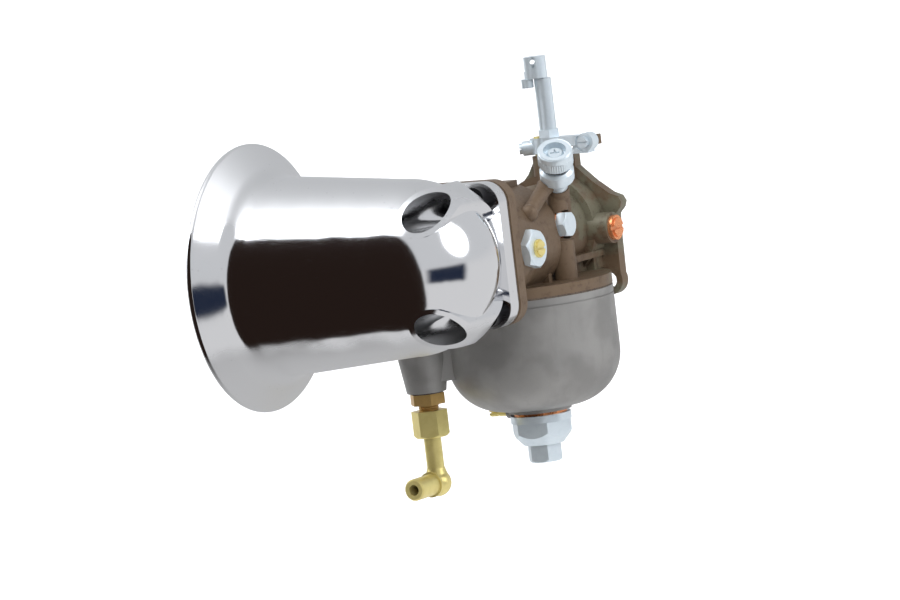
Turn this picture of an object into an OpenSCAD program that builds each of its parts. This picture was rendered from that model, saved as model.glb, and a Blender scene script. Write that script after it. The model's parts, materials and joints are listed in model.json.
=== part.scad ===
// Side-draft motorcycle carburetor with a round float bowl and an elbow velocity stack.
// The origin is the centre of the throat on the manifold face. The throat runs along Y,
// air comes in from -Y, and the mouth of the horn opens towards -X.

/* [Throat] */
// Diameter of the throttle bore
bore_d = 32; // [26:0.5:40]
// Smallest diameter of the venturi
venturi_d = 27; // [20:0.5:28]
// Wall of the neck around the venturi
neck_wall = 3.4; // [3:0.1:5]
// Wall of the barrel around the throttle disc
barrel_wall = 3; // [2.5:0.1:4.5]
// Length of the venturi insert
venturi_len = 33; // [27:0.5:36]

/* [Manifold flange] */
// Thickness of the manifold flange
flange_t = 5; // [4:0.1:7]
// Distance from the bore to the circle of bolt holes
bolt_margin = 15; // [13:0.1:18]
// Diameter of the bolt holes
bolt_d = 6.6; // [5:0.1:8]
// Radius of the ears around the bolt holes
ear_r = 6; // [5.4:0.1:7.2]
// Angle of the lower bolt holes below the horizontal
bolt_angle = 48.3; // [44:0.1:54]

/* [Inlet flange] */
// Width of the inlet flange
inlet_w = 56; // [52:0.5:68]
// Height of the inlet flange
inlet_h = 58; // [52:0.5:70]
// Thickness of the inlet flange on the body
inlet_t = 5.5; // [4.5:0.1:7]
// Corner radius of the inlet flange
corner_r = 9; // [6:0.5:11]
// Thickness of the horn gasket
gasket_t = 0.8; // [0.5:0.1:1.2]

/* [Air horn] */
// Outside diameter of the elbow dome
dome_d = 70; // [58:0.5:84]
// Wall of the horn
horn_wall = 4; // [3:0.1:5]
// Length of the tube from the elbow centre to the flare
tube_len = 52.4; // [43:0.2:63]
// Outside diameter of the tube where the flare starts
tube_d = 78.8; // [74:0.2:90]
// Slope of the flare away from the tube
flare_angle = 53; // [44:1:60]
// Outside diameter of the rim
rim_d = 106.8; // [100:0.2:120]
// Thickness of the horn's flange
horn_flange_t = 6.5; // [5.4:0.1:9]
// Diameter of the holes that reach the horn screws
access_d = 14; // [12:0.1:15]
// Thread diameter of the horn screws
horn_screw_d = 6; // [4:0.1:6.5]

/* [Float bowl] */
// Outside diameter of the float bowl
bowl_d = 70; // [58:0.5:84]
// Depth of the float bowl below its rim
bowl_depth = 46.2; // [40:0.1:55]
// Wall of the float bowl
bowl_wall = 2.6; // [2.1:0.1:3.2]
// Radius of the bowl's lower corner
bowl_corner = 21; // [16:0.5:25]
// Thickness of the bowl cover
cover_t = 4.2; // [3.5:0.1:6]
// Thickness of the bowl gasket
bowl_gasket_t = 0.8; // [0.5:0.1:1.2]
// Distance of the fuel boss axis outside the bowl wall
boss_gap = 10; // [9.4:0.1:12]
// Diameter of the fuel boss at its lower end
boss_d = 16; // [15:0.1:19]
// Direction of the fuel boss around the bowl
boss_angle = 218.4; // [205:0.2:235]

/* [Throttle] */
// Diameter of the throttle shaft
shaft_d = 5.6; // [4.8:0.1:6.8]
// Thickness of the throttle disc
disc_t = 1.5; // [1:0.1:2.5]
// Angle of the closed disc across the bore
disc_angle = 10; // [6:1:14]
// Angle of the lever when the throttle is closed
lever_angle = 0; // [-6:1:8]
// Height of the lever riser above the lever
riser_h = 24.1; // [20:0.1:30]
// Diameter of the lever riser
riser_d = 6.9; // [5.8:0.1:7.4]
// Distance from the shaft to the stop screw
stop_reach = 21.5; // [19:0.5:24]

/* [Low-speed needle] */
// Diameter of the needle stem
needle_d = 3.9; // [3:0.1:4.4]
// Diameter of the knob
knob_d = 13.8; // [12:0.1:16.5]
// Lean of the needle from upright
needle_lean = 37; // [32:0.5:42]

/* [Clearances] */
// Gap around a shaft that turns or a stem that slides
running_gap = 0.05; // [0.02:0.01:0.1]
// Gap between the throttle disc and the bore
disc_gap = 0.15; // [0.1:0.01:0.3]
// Gap between parts that move past each other
free_gap = 0.3; // [0.2:0.05:0.5]

/* [Hidden] */
$fn = 96;
over = 1;

bore_r = bore_d / 2;
pocket_r = bore_r + 3.5;
neck_r = pocket_r + neck_wall;
neck_side = pocket_r + 3;
barrel_r = bore_r + barrel_wall;

// Shaft, bolt circle and bowl follow the bore
shaft_y = -(flange_t + 6.2);
shaft_r = shaft_d / 2;
bolt_circle_r = bore_r + bolt_margin;
bolt_x = bolt_circle_r * cos(bolt_angle);
bolt_z = -bolt_circle_r * sin(bolt_angle);
relief_len = 4;
bowl_r = bowl_d / 2;
bowl_setback = 2.6;
bowl_y = -(bowl_r + bowl_setback);
cover_low = -(bore_r + 5.8);
bowl_top = cover_low - bowl_gasket_t;
bowl_bottom = bowl_top - bowl_depth;
spigot_h = 3;
neck_start = bowl_y - 7.4;

// Inlet end of the body
inlet_gap = 21;
inlet_y = bowl_y - bowl_r - inlet_gap;
horn_y = inlet_y - gasket_t;

// Bosses on the right side of the body
lock_y = inlet_y + 23.3;
lock_z = -1.5;
lock_face = neck_side;
lock_thread_r = 3.7;
lock_boss_r = 8.5;
nut_t = 3.6;
nut_af = 14.3;
passage_y = bowl_y - 3.4;
passage_z = 4.4;
passage_face = barrel_r + 1.5;
passage_r = 2.5;
passage_boss_r = 5.8;
washer_t = 0.8;
passage_head_af = 9.5;
passage_head_t = 4.4;
plug_y = -10;
plug_z = -1.3;
plug_face = barrel_r + 9;
plug_r = 5;
plug_thread_r = 3.8;
column_x = barrel_r + 1.5;
column_y = bowl_y - 2.4;
column_r = 3.9;
column_top = 17;

// Low-speed needle: its base sits on the column beside the throat
needle_azimuth = -60;
needle_x = column_x + 1.1;
needle_y = column_y;
needle_z = column_top + 0.4;
needle_r = needle_d / 2;
needle_bore = needle_r + running_gap;
needle_depth = 14;
gland_thread_r = 3.2;
gland_thread_len = 5;
gland_neck_r = 4.3;
boss_rise = 2.8;
gland_neck = 4.6;
gland_r = knob_d / 2;
gland_low = 8;
gland_high = 13.5;
ratchet_t = 0.8;
knob_low = 16;
knob_high = 22.7;
knob_hub = 15.2;
knob_recess_r = 4.6;
knob_recess = 3.2;
knob_screw_r = 1.2;

// Throttle lever
lever_low = barrel_r + 12;
hub_top = lever_low + 6.2;
arm_low = lever_low + 2.4;
arm_high = lever_low + 6.2;
arm_w = 6.6;
hub_r = shaft_r + 1.6;
riser_at = 4.1;
riser_top = arm_high + riser_h;
riser_hex_af = riser_d + 1.1;
riser_hex_h = 3.2;
stop_z = lever_low + 3.4;
stop_r = 1.6;
stop_block_r = 3.65;
stop_block_len = 5.2;
plate_t = 2.2;
shaft_boss_r = 4.2;
shaft_low = -(barrel_r + 1.8);
clamp_r = 4.5;
clamp_h = 8.8;
clamp_shift = 2.3;
clamp_turn = 30;
pivot_r = 2;
pivot_h = 5.5;
wire_r = 1.1;
wire_z = riser_top + free_gap + 6.6;
clamp_screw_shift = -3.9;
clamp_screw_head = 3.6;

// Stop pad on the manifold flange, which the stop screw meets when closed
stop_pad_x = stop_reach + 1.6;
stop_pad_t = 2.4;
stop_pad_h = 4;
stub_r = 3;
stub_len = 7.6;
stop_contact = 0.1;

// Horn: a dome at the elbow, a slightly flared tube and a rounded rim
dome_r = dome_d / 2;
dome_sink = 2.8;
horn_face_wall = 1.6;
flange_relief = 0.9;
fairing_out = 3.2;
fairing_drop = 2.5;
elbow_y = horn_y - dome_r + dome_sink;
tube_r = tube_d / 2;
rim_r = rim_d / 2;
fillet_r = 12;
back_r = 1.6;
lip_r = 1.5;
fillet_centre = [tube_r + fillet_r, tube_len];
flare_turn = (fillet_r + back_r) * (1 - cos(flare_angle));
flare_run = (rim_r - tube_r - flare_turn) / sin(flare_angle);
back_len = (fillet_r + back_r) * sin(flare_angle) + flare_run * cos(flare_angle);
back_centre = [rim_r - back_r, tube_len + back_len];
mouth = back_centre[1] + lip_r;
inner_end = fillet_centre + (fillet_r + horn_wall) * [-cos(flare_angle), sin(flare_angle)];
inner_rim = inner_end[0] + (mouth - inner_end[1]) * tan(flare_angle);
screw_x = inlet_w / 2 - 8.5;
screw_z = inlet_h / 2 - 6;
access_wall = 2;
screw_head_r = 4.8;
screw_head_h = 5.2;
horn_screw_r = horn_screw_d / 2;

// Bowl nut stack
bowl_hub_r = 12.8;
bowl_hub_h = 1.5;
stud_r = 4.5;
stack_top = bowl_bottom - bowl_hub_h;
copper_t = 1.2;
collar_t = 3;
collar_r = 12.3;
nut_top = stack_top - copper_t - collar_t;
nut_hex_af = 22;
nut_hex_h = 9.3;
tip_af = 12.5;
tip_h = 7.2;
post_r = 7;
post_low = bowl_bottom + 7;
stud_top = post_low + 9;
plug_stub_r = 1.85;
plug_stub_z = stack_top + 0.2;

// Fuel boss, float and valve
boss_at = bowl_r + boss_gap;
boss_r = boss_d / 2;
boss_low = bowl_top - 34.2;
boss_shoulder = bowl_top - 20.7;
boss_high = bowl_top - 4.7;
chamber_r = 5.6;
chamber_low = boss_low + 6;
chamber_high = boss_high - 2.2;
web_w = 13.5;
window_w = 8.2;
window_low = bowl_top - 19;
window_high = chamber_high;
pin_at = bowl_r - 1.4;
pin_z = bowl_top - 10.2;
pin_r = 1.2;
lever_eye_r = 2.4;
lever_w = 6.2;
lever_t = 1.2;
float_out = bowl_r - bowl_wall - 4;
float_in = 12.5;
float_high = bowl_top - 15.2;
float_low = float_high - 17.5;
lever_in = float_out - 6;
valve_r = 2.2;
valve_lift = 0.9;
seat_thread_r = 4.8;
seat_top = chamber_low + 5;
seat_hex_af = 12.7;
seat_hex_h = 4.4;
fibre_t = 0.6;
seat_low = boss_low - fibre_t - seat_hex_h;
neck_thread_r = 3.9;
inlet_nut_gap = 2.5;
inlet_nut_af = 12.7;
inlet_nut_top = seat_low - inlet_nut_gap;
inlet_nut_h = 10.8;
inlet_nut_low = inlet_nut_top - inlet_nut_h;
union_top = inlet_nut_top - 3.4;
pipe_r = 3.5;
pipe_bore = 2.2;
ferrule_r = 4.7;
ferrule_t = 2.2;
elbow_z = inlet_nut_low - 18.7;
ball_r = 5.6;
stem_len = 19.5;
stem_r = 4.4;
stem_collar_t = 0.8;
boss_x = boss_at * cos(boss_angle);
boss_y = bowl_y + boss_at * sin(boss_angle);

bronze = [0.40, 0.31, 0.23];
cast_grey = [0.56, 0.55, 0.54];
polished = [0.80, 0.81, 0.83];
zinc = [0.78, 0.84, 0.88];
brass = [0.80, 0.70, 0.34];
copper = [0.74, 0.40, 0.24];
black_steel = [0.12, 0.12, 0.13];
cork = [0.62, 0.45, 0.28];
paper = [0.30, 0.30, 0.30];
fibre = [0.48, 0.20, 0.14];

// A cylinder along Y from y0 to y1
module rod_y(y0, y1, r) {
  translate([0, y0, 0])
    rotate([-90, 0, 0])
      cylinder(h = y1 - y0, r = r);
}

// A cone along Y
module cone_y(y0, y1, r0, r1) {
  translate([0, y0, 0])
    rotate([-90, 0, 0])
      cylinder(h = y1 - y0, r1 = r0, r2 = r1);
}

// A cylinder along X from x0 to x1
module rod_x(x0, x1, r) {
  translate([x0, 0, 0])
    rotate([0, 90, 0])
      cylinder(h = x1 - x0, r = r);
}

module hex(af, h) {
  cylinder(h = h, r = af / sqrt(3), $fn = 6);
}

// A hexagon whose corners are turned off at the top end
module turned_hex(af, h) {
  corner = af / sqrt(3);
  intersection() {
    hex(af, h);
    union() {
      cylinder(h = h - (corner - af / 2), r = corner + over);
      translate([0, 0, h - (corner - af / 2)])
        cylinder(h = corner - af / 2, r1 = corner, r2 = af / 2 - 0.1);
    }
  }
}

// A hexagon with a long turned taper at the top end
module tapered_hex(af, h, taper_h, tip_r) {
  intersection() {
    hex(af, h);
    union() {
      cylinder(h = h - taper_h, r = af / sqrt(3) + over);
      translate([0, 0, h - taper_h])
        cylinder(h = taper_h, r1 = af / sqrt(3), r2 = tip_r);
    }
  }
}

// A ring along Z
module ring(h, r, hole) {
  difference() {
    cylinder(h = h, r = r);
    translate([0, 0, -over])
      cylinder(h = h + 2 * over, r = hole);
  }
}

// A rounded rectangle across the throat, from y0 to y1
module plate_y(y0, y1, w, h, r) {
  translate([0, y1, 0])
    rotate([90, 0, 0])
      linear_extrude(y1 - y0)
        rounded_rectangle(w, h, r);
}

module rounded_rectangle(w, h, r) {
  square([w - 2 * r, h], center = true);
  square([w, h - 2 * r], center = true);
  for (sx = [-1, 1], sz = [-1, 1])
    translate([sx * (w / 2 - r), sz * (h / 2 - r)])
      circle(r = r);
}

module on_bowl_axis() {
  translate([0, bowl_y, 0])
    children();
}

// The bowl's own frame, with X out through the fuel boss
module towards_boss() {
  translate([0, bowl_y, 0])
    rotate([0, 0, boss_angle])
      children();
}

module on_boss_axis() {
  translate([boss_x, boss_y, 0])
    children();
}

// The needle's own frame, with Z along the needle and the base at zero
module on_needle() {
  translate([needle_x, needle_y, needle_z])
    rotate([0, needle_lean, needle_azimuth])
      children();
}

// The lever's own frame, with X along the arm
module on_lever() {
  translate([0, shaft_y, 0])
    rotate([0, 0, lever_angle])
      children();
}

module at_horn_screws() {
  for (sz = [-1, 1])
    translate([screw_x, 0, sz * screw_z])
      children();
}

module at_bolt_holes() {
  for (p = [[0, bolt_circle_r], [bolt_x, bolt_z], [-bolt_x, bolt_z]])
    translate([p[0], 0, p[1]])
      children();
}

// Outline of the manifold flange in X and Z
module flange_outline() {
  side = bolt_x + ear_r - 0.3;
  left = -side + 0.4;
  circle(r = barrel_r + 3);
  for (p = [[0, bolt_circle_r], [bolt_x, bolt_z], [-bolt_x, bolt_z]])
    translate(p)
      circle(r = ear_r);
  polygon([
    [-5.6, bolt_circle_r], [5.6, bolt_circle_r], [11, bolt_circle_r - 2], [11, bolt_circle_r - 7],
    [side - 8.2, 17.4], [side - 1.2, 12.2], [side + 2.5, 10.7], [side + 3.8, 8.4],
    [side + 3, 6], [side + 0.5, 3.5], [side, -7.8], [side - 0.2, bolt_z + 1.5],
    [bolt_x, bolt_z - ear_r + 0.6], [12, cover_low + 2.5], [-12, cover_low + 2.5],
    [-bolt_x, bolt_z - ear_r + 0.6], [left, bolt_z + 1.5], [left, 0],
    [left + 5, 12], [-11, bolt_circle_r - 9]
  ]);
}

module manifold_flange() {
  rotate([90, 0, 0])
    linear_extrude(flange_t)
      flange_outline();
}

// Pad behind the tip of the stop screw
module stop_pad() {
  translate([0, -flange_t, stop_z - stop_pad_h / 2])
    cube([stop_pad_x, stop_pad_t, stop_pad_h]);
}

module bowl_cover() {
  on_bowl_axis() {
    translate([0, 0, cover_low])
      cylinder(h = cover_t, r = bowl_r);
    translate([0, 0, cover_low - spigot_h])
      cylinder(h = spigot_h, r = bowl_r - bowl_wall - 0.4);
    translate([0, 0, post_low])
      cylinder(h = -post_low - bore_r - 1, r = post_r);
  }
  translate([-bore_r + 1, bowl_y - 27, cover_low])
    cube([2 * bore_r - 2, 54, -cover_low - 8]);
}

module side_bosses() {
  translate([0, lock_y, lock_z])
    rod_x(bore_r, lock_face, lock_boss_r);
  translate([0, passage_y, passage_z])
    rod_x(bore_r, passage_face, passage_boss_r);
  translate([0, plug_y, plug_z])
    rod_x(bore_r, plug_face, plug_r + 1.3);
  translate([0, shaft_y, bore_r])
    cylinder(h = lever_low - 1 - bore_r, r = shaft_boss_r);
  translate([column_x, column_y, cover_low + 1])
    cylinder(h = column_top - cover_low - 1, r = column_r);
  translate([column_x, column_y, cover_low + 1])
    cylinder(h = -2 - cover_low - 1, r = column_r + 0.8);
  on_needle()
    translate([0, 0, -needle_depth])
      cylinder(h = needle_depth + boss_rise, r = gland_neck_r);
}

// Drilled passage along the shoulder of the neck, with round ends
module passage_boss() {
  high = [column_x - 0.5, column_y - 7.4, neck_r - 2.1];
  low = [column_x - 0.5, column_y - 23.4, neck_r - 10.8];
  along = low - high;
  translate(high)
    rotate([acos(along[2] / norm(along)), 0, 0])
      cylinder(h = norm(along), r = 3.1);
  for (end = [high, low])
    translate(end)
      sphere(r = 3.6);
}

// Ribs that tie the barrel to the lower ear and to the cover
module ribs() {
  rib_t = 2.6;
  translate([bore_r - 2, column_y + 1, -12.6])
    cube([6, -column_y - flange_t, rib_t]);
  translate([barrel_r - 4, -flange_t - 7.5, cover_low + 1])
    cube([rib_t + 1, 8, -cover_low - 4]);
  translate([bore_r - 4, column_y - 10, cover_low + 1])
    cube([6, rib_t, -cover_low - 8]);
  for (side_x = [neck_side - 4.5, -neck_side + 1.5])
    translate([side_x, inlet_y + 2, -inlet_h / 2 + 3])
      cube([3, inlet_gap - 7, inlet_h / 2 - 4]);
}

// The neck around the venturi, flat at both sides and below
module neck() {
  intersection() {
    union() {
      rod_y(inlet_y + 1, neck_start, neck_r);
      cone_y(inlet_y + inlet_t - 1, inlet_y + inlet_t + 24, neck_r + 4.5, neck_r);
    }
    translate([-neck_side, inlet_y, cover_low])
      cube([2 * neck_side, neck_start - inlet_y + over, neck_r - cover_low + 6]);
  }
  translate([-neck_side + 4, inlet_y + 1, bore_r - 1])
    cube([neck_side + 3, neck_start - inlet_y - 3, neck_r - bore_r + 2.4]);
}

module body_mass() {
  manifold_flange();
  stop_pad();
  rod_y(neck_start - 2, -1, barrel_r);
  rod_y(-flange_t - 10, -1, barrel_r + 3);
  neck();
  plate_y(inlet_y, inlet_y + inlet_t, inlet_w + 1, inlet_h, corner_r);
  bowl_cover();
  side_bosses();
  passage_boss();
  ribs();
}

module body_holes() {
  rod_y(neck_start - over, over, bore_r);
  rod_y(inlet_y - over, neck_start, pocket_r);
  rod_y(-2.5, over, register_r);
  translate([0, shaft_y, shaft_low - free_gap])
    cylinder(h = lever_low - shaft_low + over, r = shaft_r + running_gap);
  at_bolt_holes()
    rod_y(-flange_t - over, over, bolt_d / 2);
  at_bolt_holes()
    rod_y(-flange_t - relief_len, -flange_t, ear_r);
  at_horn_screws()
    rod_y(inlet_y - over, inlet_y + inlet_t + over, horn_screw_r);
  translate([0, lock_y, lock_z])
    rod_x(bore_r, lock_face + over, lock_thread_r);
  translate([0, passage_y, passage_z])
    rod_x(bore_r - over, passage_face + over, passage_r);
  translate([0, plug_y, plug_z])
    rod_x(barrel_r, plug_face + over, plug_thread_r);
  on_needle() {
    translate([0, 0, -needle_depth - 2])
      cylinder(h = needle_depth + 3, r = needle_bore);
    translate([0, 0, boss_rise - gland_thread_len])
      cylinder(h = gland_thread_len + over, r = gland_thread_r);
  }
  on_bowl_axis() {
    translate([0, 0, post_low - over])
      cylinder(h = stud_top - post_low + over, r = stud_r);
    translate([0, 0, stud_top - over])
      cylinder(h = -stud_top - 8, r = nozzle_r);
  }
  tube_place()
    cylinder(h = -idle_tube_low - 8, r = idle_tube_r);
}

module body() {
  color(bronze)
    difference() {
      body_mass();
      body_holes();
      passage_head_room();
      gland_thread_hole();
      gland_room();
    }
}

// Room round the gland and the knob, clear of the rib that ends below them
module gland_room() {
  on_needle() {
    translate([0, 0, boss_rise])
      cylinder(h = gland_neck - boss_rise, r = gland_neck_r - 0.5 + free_gap);
    translate([0, 0, gland_neck])
      cylinder(h = gland_low - gland_neck, r1 = gland_neck_r - 0.5 + free_gap, r2 = gland_r - 0.9 + free_gap);
    translate([0, 0, gland_low])
      cylinder(h = knob_high - gland_low + over, r = gland_r + free_gap);
  }
}

// Room beside the boss for the passage screw's head and washer
module passage_head_room() {
  translate([0, passage_y, passage_z])
    rod_x(passage_face, passage_face + 2 * passage_head_t + washer_t, passage_head_af / 2 / cos(30) + free_gap);
}

// Hole that takes the whole thread of the needle gland
module gland_thread_hole() {
  on_needle()
    translate([0, 0, boss_rise - gland_thread_len])
      cylinder(h = gland_thread_len + over, r = gland_thread_r);
}

register_r = bore_r + 1.8;
nozzle_r = 2.2;
nozzle_top = -4;
idle_tube_r = 1.2;
idle_tube_low = bowl_top - 26;

module tube_place() {
  translate([8.8, bowl_y + 3, idle_tube_low])
    children();
}

module venturi() {
  throat_at = 15;
  throat_r = venturi_d / 2;
  narrowing = bore_r - throat_r;
  bulge = (throat_at * throat_at + narrowing * narrowing) / (2 * narrowing);
  color(cast_grey)
    translate([0, neck_start, 0])
      rotate([90, 0, 0])
        rotate_extrude()
          intersection() {
            translate([throat_r, 0])
              square([pocket_r - throat_r, venturi_len]);
            translate([throat_r + bulge, throat_at])
              circle(r = bulge, $fn = 360);
          }
}

module main_nozzle() {
  color(brass)
    on_bowl_axis()
      translate([0, 0, stud_top])
        ring(nozzle_top - stud_top, nozzle_r, 1.3);
}

module idle_tube() {
  color(brass)
    tube_place()
      ring(cover_low + 3.5 - idle_tube_low, idle_tube_r, 0.6);
}

// A plate across the bore at the closed angle, in the frame of the shaft
module disc_plate(t, r) {
  intersection() {
    rod_y(-bore_r, bore_r, r);
    rotate([0, 0, -disc_angle])
      rod_y(-t / 2, t / 2, bore_r + 2);
  }
}

module throttle_shaft() {
  color(brass)
    translate([0, shaft_y, 0])
      difference() {
        translate([0, 0, shaft_low])
          cylinder(h = hub_top + 0.6 - shaft_low, r = shaft_r);
        rotate([0, 0, -disc_angle])
          translate([-shaft_r - over, -disc_t / 2, -bore_r])
            cube([2 * (shaft_r + over), disc_t, 2 * bore_r]);
        disc_screw_holes();
      }
}

module disc_screw_holes() {
  rotate([0, 0, -disc_angle])
    for (sz = [-1, 1])
      translate([0, 0, sz * bore_r * 0.42])
        rod_y(-shaft_r - over, shaft_r + over, 1.2);
}

module throttle_disc() {
  color(brass)
    translate([0, shaft_y, 0])
      difference() {
        disc_plate(disc_t, bore_r - disc_gap);
        disc_screw_holes();
      }
}

module disc_screws() {
  color(brass)
    translate([0, shaft_y, 0])
      rotate([0, 0, -disc_angle])
        for (sz = [-1, 1])
          translate([0, 0, sz * bore_r * 0.42]) {
            rod_y(-shaft_r, shaft_r, 1.2);
            rod_y(-shaft_r - 1, -shaft_r, 2);
          }
}

module throttle_lever() {
  color(zinc)
    on_lever()
      difference() {
        union() {
          translate([0, 0, lever_low])
            cylinder(h = hub_top - lever_low, r = hub_r);
          translate([0, -arm_w / 2, arm_low])
            cube([stop_reach, arm_w, arm_high - arm_low]);
          translate([stop_reach, 0, stop_z])
            rod_y(-stop_block_len / 2, stop_block_len / 2, stop_block_r);
          translate([stop_reach - 7, -arm_w / 2, lever_low - 1])
            cube([8.5, arm_w - 1, plate_t]);
          translate([stop_reach - 6, -2, lever_low])
            cube([4, 4, 4]);
          rotate([0, 0, clamp_turn])
            translate([0, 0, pinch_z])
              rod_x(-stub_len, 0, stub_r);
          translate([riser_at, 0, arm_low])
            cylinder(h = riser_top - arm_low, r = riser_d / 2);
          translate([riser_at, 0, arm_high])
            hex(riser_hex_af, riser_hex_h);
          translate([riser_at, 0, riser_top])
            cylinder(h = pivot_h, r = pivot_r);
        }
        translate([0, 0, lever_low - over])
          cylinder(h = hub_top - lever_low + 2 * over, r = shaft_r);
        translate([stop_reach, 0, stop_z]) {
          rod_y(-stop_block_len, stop_block_len, stop_r + running_gap);
          rod_y(-arm_w, -stop_block_len / 2, stop_block_r + free_gap);
        }
        rotate([0, 0, clamp_turn])
          translate([0, 0, pinch_z])
            rod_x(-stub_len - over, -shaft_r + over, pinch_r);
      }
}

pinch_z = lever_low + 2.6;
pinch_r = 1.3;

module lever_pinch_screw() {
  head = 1.4;
  color(zinc)
    on_lever()
      rotate([0, 0, clamp_turn])
        translate([0, 0, pinch_z])
          difference() {
            union() {
              rod_x(-stub_len, -shaft_r, pinch_r);
              rod_x(-stub_len - head, -stub_len, 2.2);
            }
            translate([-stub_len - head - over, -3, -0.35])
              cube([over + 0.8, 6, 0.7]);
          }
}

// Distance from the shaft line to the stop pad, along the stop screw
stop_tip = (-flange_t - stop_contact - shaft_y - stop_reach * sin(lever_angle)) / cos(lever_angle);

module idle_stop_screw() {
  head = -stop_block_len / 2 - 0.6;
  color(zinc)
    on_lever()
      translate([stop_reach, 0, stop_z])
        difference() {
          union() {
            rod_y(head, stop_tip - 1.4, stop_r);
            cone_y(stop_tip - 1.4, stop_tip, stop_r, 0.7);
            rod_y(head - 2, head, 2.2);
          }
          translate([-4, head - 2 - over, -0.4])
            cube([8, over + 1, 0.8]);
        }
}

module on_riser() {
  on_lever()
    translate([riser_at, 0, riser_top + free_gap])
      rotate([0, 0, clamp_turn])
        children();
}

module cable_clamp() {
  color(zinc)
    on_riser()
      difference() {
        translate([-clamp_shift, 0, 0])
          cylinder(h = clamp_h, r = clamp_r);
        translate([0, 0, -over])
          cylinder(h = pivot_h + over, r = pivot_r + running_gap);
        translate([-clamp_shift - 1, 0, wire_z - riser_top - free_gap])
          rod_y(-clamp_r - over, clamp_r + over, wire_r);
        translate([-clamp_shift - 1.6, -clamp_r - over, clamp_h - 4.4])
          cube([1.2, 3.4, 4.4 + over]);
        translate([-clamp_shift + clamp_screw_shift, 0, -over])
          cylinder(h = 3 + over, r = clamp_screw_r);
      }
}

clamp_screw_r = 0.9;

module cable_clamp_screw() {
  color(zinc)
    on_riser()
      translate([-clamp_shift + clamp_screw_shift, 0, 0]) {
        cylinder(h = 3, r = clamp_screw_r);
        translate([0, 0, -clamp_screw_head])
          cylinder(h = clamp_screw_head, r = 2.4);
      }
}

module needle_gland() {
  color(zinc)
    on_needle()
      difference() {
        union() {
          translate([0, 0, boss_rise - gland_thread_len])
            cylinder(h = gland_thread_len, r = gland_thread_r);
          translate([0, 0, boss_rise])
            cylinder(h = gland_neck - boss_rise, r = gland_neck_r - 0.5);
          translate([0, 0, gland_neck])
            cylinder(h = gland_low - gland_neck, r1 = gland_neck_r - 0.5, r2 = gland_r - 0.9);
          translate([0, 0, gland_low])
            cylinder(h = gland_high - gland_low - 1.2, r = gland_r);
          translate([0, 0, gland_high - 1.2])
            cylinder(h = 1.2, r1 = gland_r, r2 = gland_r - 1.2);
        }
        translate([0, 0, -gland_thread_len - over])
          cylinder(h = gland_high + gland_thread_len + 2 * over, r = needle_bore);
      }
}

module ratchet_washer() {
  color(black_steel)
    on_needle()
      translate([0, 0, gland_high])
        ring(ratchet_t, gland_r - 2, needle_bore + 0.2);
}

module low_speed_needle() {
  taper_len = 5;
  color(brass)
    on_needle() {
      translate([0, 0, -needle_depth + taper_len])
        cylinder(h = needle_depth - taper_len + knob_low + 1.6, r = needle_r);
      translate([0, 0, -needle_depth])
        cylinder(h = taper_len, r1 = 0.4, r2 = needle_r);
    }
}

module needle_knob() {
  recess_floor = knob_high - knob_recess;
  color(zinc)
    on_needle()
      difference() {
        union() {
          translate([0, 0, knob_low])
            cylinder(h = knob_high - knob_low - 0.6, r = knob_d / 2);
          translate([0, 0, knob_high - 0.6])
            cylinder(h = 0.6, r1 = knob_d / 2, r2 = knob_d / 2 - 0.5);
          translate([0, 0, knob_hub])
            cylinder(h = knob_low - knob_hub, r = 4.6);
        }
        translate([0, 0, recess_floor])
          cylinder(h = knob_recess + over, r = knob_recess_r);
        translate([0, 0, knob_hub - over])
          cylinder(h = knob_low - knob_hub + over + 1.7, r = needle_bore);
        translate([0, 0, knob_low + 1.7 + running_gap])
          cylinder(h = knob_recess + 2, r = knob_screw_r);
      }
}

module knob_screw() {
  recess_floor = knob_high - knob_recess;
  head_h = 1.7;
  color(zinc)
    on_needle()
      difference() {
        union() {
          translate([0, 0, knob_low + 1.9])
            cylinder(h = recess_floor - knob_low - 1.9, r = knob_screw_r);
          translate([0, 0, recess_floor])
            cylinder(h = head_h, r1 = 3.8, r2 = 2.8);
        }
        for (turn = [0, 90])
          rotate([0, 0, turn])
            translate([-1.9, -0.35, recess_floor + head_h - 0.9])
              cube([3.8, 0.7, 1.2]);
      }
}

module venturi_screw() {
  tip = pocket_r + 0.3;
  color(brass)
    translate([0, lock_y, lock_z])
      difference() {
        union() {
          rod_x(tip, lock_face + nut_t + 0.9, lock_thread_r);
          rod_x(lock_face + nut_t + 0.9, lock_face + nut_t + 1.6, lock_thread_r - 0.6);
        }
        translate([lock_face + nut_t + 0.6, -5, -0.5])
          cube([2, 10, 1]);
      }
}

module venturi_lock_nut() {
  color(zinc)
    translate([lock_face, lock_y, lock_z])
      rotate([0, 90, 0])
        rotate([0, 0, 14])
          difference() {
            turned_hex(nut_af, nut_t);
            translate([0, 0, -over])
              cylinder(h = nut_t + 2 * over, r = lock_thread_r);
          }
}

module passage_screw() {
  color(zinc)
    translate([0, passage_y, passage_z]) {
      rod_x(bore_r + 0.5, passage_face + washer_t, passage_r);
      translate([passage_face + washer_t, 0, 0])
        rotate([0, 90, 0])
          rotate([0, 0, 24])
            turned_hex(passage_head_af, passage_head_t);
    }
}

module passage_washer() {
  color(copper)
    translate([passage_face, passage_y, passage_z])
      rotate([0, 90, 0])
        ring(washer_t, passage_head_af / 2 + 0.5, passage_r);
}

module flange_plug() {
  color(copper)
    translate([0, plug_y, plug_z])
      difference() {
        union() {
          rod_x(barrel_r + 1, plug_face, plug_thread_r);
          rod_x(plug_face, plug_face + 1.8, plug_r);
          rod_x(plug_face + 1.8, plug_face + 2.6, plug_r - 1.1);
        }
        translate([plug_face + 1.5, -plug_r - over, -0.7])
          cube([2, 2 * (plug_r + over), 1.4]);
      }
}

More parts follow.
